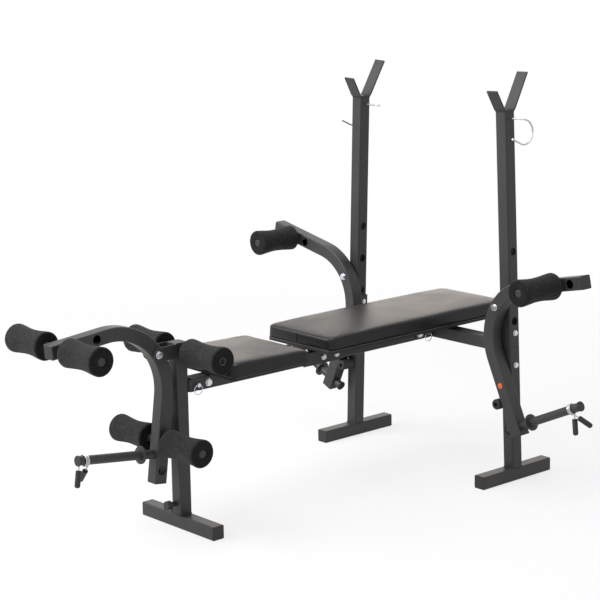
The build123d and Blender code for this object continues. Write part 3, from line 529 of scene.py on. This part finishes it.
def inflate(piece, floor_z, cap):
    """Fill a closed skin with pressure, its underside held, each point moving no more than cap."""
    held_height, last_frame = 0.004, 20
    held = piece.vertex_groups.new(name="held")
    underside = [v.index for v in piece.data.vertices if v.co.z < floor_z + held_height]
    held.add(underside, 1.0, "REPLACE")
    before = [v.co.copy() for v in piece.data.vertices]
    skin = piece.modifiers.new("skin", "CLOTH")
    skin.settings.use_pressure = True
    skin.settings.uniform_pressure_force = 4.0
    skin.settings.vertex_group_mass = "held"
    skin.settings.effector_weights.gravity = 0
    skin.settings.quality = 5
    for step in range(1, last_frame + 1):
        scene.frame_set(step)
    graph = bpy.context.evaluated_depsgraph_get()
    moved = [v.co.copy() for v in piece.evaluated_get(graph).data.vertices]
    piece.modifiers.clear()
    scene.frame_set(1)
    for vertex, start, end in zip(piece.data.vertices, before, moved):
        shift = end - start
        if shift.length > cap:
            shift = shift.normalized() * cap
        vertex.co = start + shift
    piece.vertex_groups.clear()


def settle(piece, rounds):
    """Smooth a mesh a little."""
    shell = bmesh.new()
    shell.from_mesh(piece.data)
    for _ in range(rounds):
        bmesh.ops.smooth_vert(shell, verts=shell.verts, factor=0.5,
                              use_axis_x=True, use_axis_y=True, use_axis_z=True)
    shell.to_mesh(piece.data)
    shell.free()


def corner_fold(co, middle, half_x, half_y, corner, rise):
    """Pleat the vinyl where it is drawn round a corner, most at the bottom."""
    corner_x = abs(co.x - middle.x) - (half_x - corner)
    corner_y = abs(co.y - middle.y) - (half_y - corner)
    if corner_x <= 0 or corner_y <= 0:
        return
    depth, pleats = 0.0011, 13
    turn = math.atan2(corner_y, corner_x)
    reach = min(1, math.hypot(corner_x, corner_y) / corner)
    fold = depth * math.sin(turn * pleats) * math.sin(2 * turn) * (1 - rise) * reach
    co.x += math.copysign(fold * math.cos(turn), co.x - middle.x)
    co.y += math.copysign(fold * math.sin(turn), co.y - middle.y)


def pad_detail(piece, low, high, corner, crown, tilt):
    """Crown the top, draw its corners down, ease the sides in and pleat the corners."""
    middle = (low + high) / 2
    half_x, half_y, depth = (high.x - low.x) / 2, (high.y - low.y) / 2, high.z - low.z
    end_crown, side_crown, corner_drop = 0.0035, 0.0012, 0.0030
    draw_in, broad_ripple, fine_ripple = 0.0004, 0.0006, 0.00012
    for vertex in piece.data.vertices:
        co = vertex.co
        # u runs across the pad and v along it, from -1 to 1; rise runs from its foot to its top
        u = max(-1.0, min(1.0, (co.x - middle.x) / half_x))
        v = max(-1.0, min(1.0, (co.y - middle.y) / half_y))
        rise = min(1.0, max(0.0, (co.z - low.z) / depth))
        dome = crown * (1 - abs(u) ** 2.4) * (1 - abs(v) ** 6)
        dome += end_crown * (1 - abs(v) ** 5) + side_crown * (1 - abs(u) ** 4) - corner_drop
        slope = tilt[0] + (tilt[1] - tilt[0]) * (v + 1) / 2
        co.z += dome * rise ** 2 + slope * (0.65 + 0.35 * rise)
        pull = draw_in * math.sin(math.pi * rise)
        if abs(u) > 0.93:
            co.x -= math.copysign(pull * (1 - v ** 4), u)
        if abs(v) > 0.95:
            co.y -= math.copysign(pull * (1 - u ** 2), v)
        corner_fold(co, middle, half_x, half_y, corner, rise)
        ripple = noise.noise(Vector((co.x * 14, co.y * 9, co.z * 20))) * broad_ripple
        ripple += noise.noise(Vector((co.x * 60, co.y * 60, co.z * 60))) * fine_ripple
        co.z += ripple * rise ** 2
    piece.data.update()


def bench_pad(node, body, corner, crown, wrap, tilt=(0.0, 0.0)):
    """A padded seat or back: foam under vinyl, drawn down over the edge of its board."""
    low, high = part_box(node)
    low = low - Vector((0, 0, wrap))
    points, faces = pad_start(low, high, corner)
    piece = new_piece(f"{node}_vinyl", points, faces, pad_vinyl, body)
    even_mesh(piece, PAD_VOXEL)
    inflate(piece, low.z, PAD_SWELL)
    settle(piece, 2)
    divide = piece.modifiers.new("fine", "SUBSURF")
    divide.levels = divide.render_levels = 1
    apply_all(piece)
    pad_detail(piece, low, high, corner, crown, tilt)
    for face in piece.data.polygons:
        face.use_smooth = True
    piece.data.materials.clear()
    piece.data.materials.append(pad_vinyl)
    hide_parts(node)


def round_cord(name, line, radius, material, body, closed=True, sides=8, ripple=0.0, pitch=0.0):
    """A thin round bead along a line of points, rippled along its length where a pitch is given."""
    points, faces = [], []
    count = len(line)
    walked = 0.0
    for k in range(count):
        before = line[(k - 1) % count] if closed or k else line[k]
        after = line[(k + 1) % count] if closed or k < count - 1 else line[k]
        axis, u, v = basis(after - before)
        walked += (line[k] - line[k - 1]).length if k else 0.0
        swell = radius * (1 + ripple * math.sin(2 * math.pi * walked / pitch)) if pitch else radius
        for s in range(sides):
            points.append(line[k] + round_place(u, v, 2 * math.pi * s / sides, swell))
    for k in range(count if closed else count - 1):
        for s in range(sides):
            near, far = k * sides, (k + 1) % count * sides
            after = (s + 1) % sides
            faces.append((near + s, near + after, far + after, far + s))
    if not closed:
        faces.append(tuple(range(sides - 1, -1, -1)))
        faces.append(tuple(range((count - 1) * sides, count * sides)))
    return new_piece(name, points, faces, material, body)


def lower_welt(pad, body, corner, wrap, radius, material):
    """The folded edge of the vinyl along the pad's lower rim."""
    inset, lift = 0.0015, 0.0002
    low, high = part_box(pad)
    middle = (low + high) / 2
    half_x, half_y = (high.x - low.x) / 2 - inset, (high.y - low.y) / 2 - inset
    line = [Vector((middle.x + x, middle.y + y, low.z - wrap + lift))
            for x, y in rounded_outline(half_x, half_y, corner - inset, 10)]
    round_cord(f"{pad}_welt", line, radius, material, body)


def upright_seam(name, foot, height, aside, body):
    """A joining seam up a pad's side, with a row of stitches beside it."""
    line = [foot + Vector((0, 0, height * k / 10)) for k in range(11)]
    seam_radius, thread_radius, stitches = 0.0009, 0.0004, 7
    round_cord(name, line, seam_radius, welt_vinyl, body, closed=False)
    for k in range(stitches):
        start = foot + aside + Vector((0, 0, height * (0.06 + 0.13 * k)))
        stitch = [start, start + Vector((0, 0, 0.0012)) + aside * 0.04,
                  start + Vector((0, 0, 0.0026))]
        thread = round_cord(f"{name}_stitch_{k}", stitch, thread_radius, welt_vinyl, body,
                            closed=False, sides=6)


bench_pad("seat_cushion", "rail", SEAT_CORNER, SEAT_CROWN, SEAT_WRAP, SEAT_TILT)
bench_pad("backrest_cushion", "backrest", BACK_CORNER, BACK_CROWN, BACK_WRAP)
lower_welt("seat_cushion", "rail", SEAT_CORNER, -0.0005, 0.0006, welt_vinyl)
# the backrest's welt takes the lighter vinyl, a painted highlight along its lower edge
lower_welt("backrest_cushion", "backrest", BACK_CORNER, BACK_WRAP, 0.0010, welt_painted_highlight)
seat_low, seat_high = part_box("seat_cushion")
back_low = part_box("backrest_cushion")[0]
corner_in = SEAT_CORNER * 0.29      # from the box's corner in to the round's middle
seat_seam_foot = Vector((seat_high.x - corner_in, seat_high.y - corner_in, seat_low.z - 0.004))
back_seam_foot = Vector((-0.008, back_low.y + 0.0008, back_low.z + 0.001))
seat_aside, back_aside = Vector((-0.002, 0.0012, 0)), Vector((0.003, -0.0002, 0))
upright_seam("seat_cushion_seam", seat_seam_foot, 0.034, seat_aside, "rail")
upright_seam("backrest_cushion_seam", back_seam_foot, 0.033, back_aside, "backrest")


# ------------------------------------------------------------------ weld beads
def square_loop(centre, u, v, size, corner):
    """Points round a square with round corners, about a centre in the plane of two directions."""
    outline = rounded_outline(size / 2, size / 2, corner, 4)
    line = []
    for k, (a, b) in enumerate(outline):
        c, d = outline[(k + 1) % len(outline)]
        steps = max(1, int(math.hypot(c - a, d - b) / LINE_SPACING))
        for s in range(steps):
            line.append(Vector(centre) + Vector(u) * (a + (c - a) * s / steps)
                        + Vector(v) * (b + (d - b) * s / steps))
    return line


def ring_loop(centre, axis, radius):
    """Points round a circle."""
    axis, u, v = basis(axis)
    count = 72
    return [Vector(centre) + round_place(u, v, 2 * math.pi * k / count, radius)
            for k in range(count)]


def bead_line(start, end):
    """Evenly spaced points from start to end."""
    start, end = Vector(start), Vector(end)
    steps = max(2, int((end - start).length / LINE_SPACING))
    return [start.lerp(end, k / steps) for k in range(steps + 1)]


def weld(name, line, body, radius=WELD_RADIUS, closed=True):
    """A coated weld bead with the ripples of its passes."""
    bead = round_cord(name, line, radius, weld_coat, body, closed, 8, WELD_RIPPLE, WELD_PITCH)


BEAD_LIFT = 0.0004      # height of a bead's centre over the foot that it joins
JOINT_LINE = 0.0006     # radius of the dark line where a leg meets its upright
X_WAY, Y_WAY = (1, 0, 0), (0, 1, 0)

post_low, post_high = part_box("front_post")
post_mid = (post_low + post_high) / 2
post_foot = (0, post_mid.y, post_low.z + BEAD_LIFT)
weld("post_foot_weld", square_loop(post_foot, X_WAY, Y_WAY, TUBE, TUBE_CORNER), "front_leg")
for side, label in SIDES:
    foot_top = (side * FOOT_X, UPRIGHT_Y, TUBE + BEAD_LIFT)
    weld(f"rear_foot_weld_{label}", square_loop(foot_top, X_WAY, Y_WAY, TUBE, TUBE_CORNER),
         "rear_frame")
    lean = Vector((-side * math.sin(SPLAY), 0, math.cos(SPLAY)))
    across = Vector((math.cos(SPLAY), 0, side * math.sin(SPLAY)))
    upper = Vector((side * FOOT_X, UPRIGHT_Y, TUBE)) + lean * UPRIGHT_TOP
    weld(f"catch_weld_{label}", square_loop(upper, across, Y_WAY, TUBE, TUBE_CORNER), "rear_frame")
    joint = Vector((side * FOOT_X, UPRIGHT_Y, TUBE)) + lean * LEG_TOP
    seam = square_loop(joint, across, Y_WAY, TUBE - JOINT_LINE, TUBE_CORNER)
    line = round_cord(f"leg_joint_{label}", seam, JOINT_LINE, joint_shadow, "rear_frame")

for node, body, toward in (("front_rail_bracket", "front_leg", -1),
                           ("lever_bracket", "front_leg", 1),
                           ("rear_rail_bracket", "rear_frame", 1)):
    low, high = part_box(node)
    y = low.y if toward < 0 else high.y
    for side, label in SIDES:
        x = side * BRACKET_HALF_WEB
        line = bead_line((x, y, low.z + 0.002), (x, y, high.z - 0.002))
        weld(f"{node}_weld_{label}", line, body, BRACKET_WELD_RADIUS, False)

lever_up = Vector((0, math.sin(LEVER_LEAN), math.cos(LEVER_LEAN)))
lever_forward = Vector((0, -math.cos(LEVER_LEAN), math.sin(LEVER_LEAN)))
lever_peg_root = Vector((0, LEVER_LOW_END_Y, LEVER_LOW_END_Z)) + lever_up * LEVER_PEG_UP
for part, out in (("peg", TUBE / 2 + PROUD), ("flange", LEVER_FLANGE_OUT)):
    ring = ring_loop(lever_peg_root + lever_forward * out, lever_forward, PEG_WELD_RADIUS)
    weld(f"lever_{part}_weld", ring, "lever")
for side, label in SIDES:
    arm_out = Vector((side * math.cos(ARM_LEAN), 0, math.sin(ARM_LEAN)))
    arm_up = Vector((-side * math.sin(ARM_LEAN), 0, math.cos(ARM_LEAN)))
    root = Vector((side * ARM_LOW_END_X, ARM_Y, ARM_LOW_END_Z)) + arm_up * ARM_PEG_UP
    for part, out in (("peg", TUBE / 2 + PROUD), ("flange", ARM_FLANGE_OUT)):
        ring = ring_loop(root + arm_out * out, arm_out, PEG_WELD_RADIUS)
        weld(f"arm_{part}_weld_{label}", ring, f"{label}_arm")


# ------------------------------------------------------------------ orange plug in the right arm
plug_profile = [(-0.003, 0.0070), (0.0, 0.0072), (0.0002, 0.0090), (0.0012, 0.0088),
                (0.0019, 0.0074), (0.0021, 0.0045), (0.0021, 0.0012)]
plug_at = (ARM_LOW_END_X - ARM_PLUG_UP * math.sin(ARM_LEAN), ARM_FRONT_Y,
           ARM_LOW_END_Z + ARM_PLUG_UP * math.cos(ARM_LEAN))
points, faces = capped_lathe(plug_profile, plug_at, (0, -1, 0), 48)
new_piece("arm_orange_plug", points, faces, orange_plug, "right_arm")


# ------------------------------------------------------------------ stage, light and camera
def stage_piece(name, points, faces, material):
    """A floor or backdrop."""
    mesh = bpy.data.meshes.new(name)
    mesh.from_pydata(points, [], faces)
    mesh.materials.append(material)
    made = bpy.data.objects.new(name, mesh)
    scene.collection.objects.link(made)


def floor_finish():
    """Pale paper floor that still shows the object's shadow."""
    near, far = 1.1, 3.6            # the paper turns to plain white between these distances
    near_glow, more_glow = 0.74, 0.26
    paper = Finish("floor_paper", Roughness=0.9, Specular_IOR_Level=0.1)
    paper.shader.inputs["Base Color"].default_value = (0.86, 0.86, 0.86, 1)
    tree = paper.tree
    seen = paper.node("ShaderNodeLightPath", {}, {}, "Is Camera Ray")
    through = paper.node("ShaderNodeLightPath", {}, {}, "Is Transmission Ray")
    glow = tree.nodes.new("ShaderNodeEmission")
    glow.inputs["Strength"].default_value = 1.0
    blend = tree.nodes.new("ShaderNodeMixShader")
    here = paper.node("ShaderNodeTexCoord", {}, {}, "Object")
    away = paper.node("ShaderNodeVectorMath", {"operation": "LENGTH"}, {0: here}, "Value")
    shown = paper.node("ShaderNodeLightPath", {}, {}, "Is Glossy Ray")
    glow_share = near_glow + paper.band(away, near, far) * more_glow
    amount = (seen + through + shown) * glow_share
    tree.links.new(amount.socket, blend.inputs[0])
    tree.links.new(paper.shader.outputs[0], blend.inputs[1])
    tree.links.new(glow.outputs[0], blend.inputs[2])
    tree.links.new(blend.outputs[0], tree.nodes["Material Output"].inputs["Surface"])
    return paper.material


FLOOR = 30.0
floor_corners = [(-FLOOR, -FLOOR, 0), (FLOOR, -FLOOR, 0), (FLOOR, FLOOR, 0), (-FLOOR, FLOOR, 0)]
stage_piece("floor", floor_corners, [(0, 1, 2, 3)], floor_finish())

ROOM_LIGHT = 0.32       # light from all round; the camera and reflections see plain white
world = bpy.data.worlds.new("studio")
scene.world = world
world.use_nodes = True
sky = world.node_tree
path = sky.nodes.new("ShaderNodeLightPath")
room = sky.nodes["Background"]
room.inputs["Color"].default_value = (1, 1, 1, 1)
room.inputs["Strength"].default_value = ROOM_LIGHT
white = sky.nodes.new("ShaderNodeBackground")
white.inputs["Color"].default_value = (1, 1, 1, 1)
white.inputs["Strength"].default_value = 1.0
either = sky.nodes.new("ShaderNodeMixShader")
shown = sky.nodes.new("ShaderNodeMath")
shown.operation = "MAXIMUM"
sky.links.new(path.outputs["Is Camera Ray"], shown.inputs[0])
sky.links.new(path.outputs["Is Glossy Ray"], shown.inputs[1])
sky.links.new(shown.outputs[0], either.inputs[0])
sky.links.new(room.outputs[0], either.inputs[1])
sky.links.new(white.outputs[0], either.inputs[2])
sky.links.new(either.outputs[0], sky.nodes["World Output"].inputs["Surface"])


def softbox(name, place, aim, size, power, colour=(1, 1, 1)):
    """A large square lamp aimed at a point."""
    lamp = bpy.data.lights.new(name, "AREA")
    lamp.size = size
    lamp.energy = power
    lamp.color = colour
    made = bpy.data.objects.new(name, lamp)
    scene.collection.objects.link(made)
    made.location = place
    made.rotation_euler = (Vector(aim) - Vector(place)).to_track_quat("-Z", "Y").to_euler()


# each lamp: its name, place, aim, size in metres, power in watts and colour
CENTRE = (0.0, 0.0, 0.45)
softbox("key_lamp", (-2.0, -2.4, 2.6), (-0.1, 0.6, 1.0), 1.8, 105)
softbox("front_lamp", (-0.6, -4.4, 3.2), CENTRE, 2.4, 60)
softbox("top_lamp", (0.0, -0.4, 4.2), CENTRE, 3.2, 110)
softbox("back_lamp", (-3.6, 3.6, 1.9), CENTRE, 3.0, 26, (1.0, 0.86, 0.74))

CAMERA_PLACE = Vector((4.15481, -4.19777 + UPRIGHT_Y, 1.77623))
CAMERA_TURN, CAMERA_RISE, CAMERA_ROLL = (math.radians(a) for a in (48.65, 12.14, -0.93))
CAMERA_FOCUS = 1937.23 / 600        # focal length over the width of the frame
SENSOR_WIDTH = 36.0


def camera_axes(turn, rise, roll):
    """Right, up and back directions of the camera."""
    back = Vector((math.sin(turn) * math.cos(rise), -math.cos(turn) * math.cos(rise),
                   math.sin(rise)))
    level = Vector((math.cos(turn), math.sin(turn), 0))
    upright = back.cross(level)
    right = level * math.cos(roll) + upright * math.sin(roll)
    up = upright * math.cos(roll) - level * math.sin(roll)
    return right, up, back


lens = bpy.data.cameras.new("camera")
lens.sensor_width = SENSOR_WIDTH
lens.lens = SENSOR_WIDTH * CAMERA_FOCUS
lens.clip_end = 100.0
camera = bpy.data.objects.new("camera", lens)
scene.collection.objects.link(camera)
axes = Matrix(camera_axes(CAMERA_TURN, CAMERA_RISE, CAMERA_ROLL)).transposed().to_4x4()
camera.matrix_world = Matrix.Translation(CAMERA_PLACE) @ axes
scene.camera = camera
scene.view_settings.view_transform = "Standard"
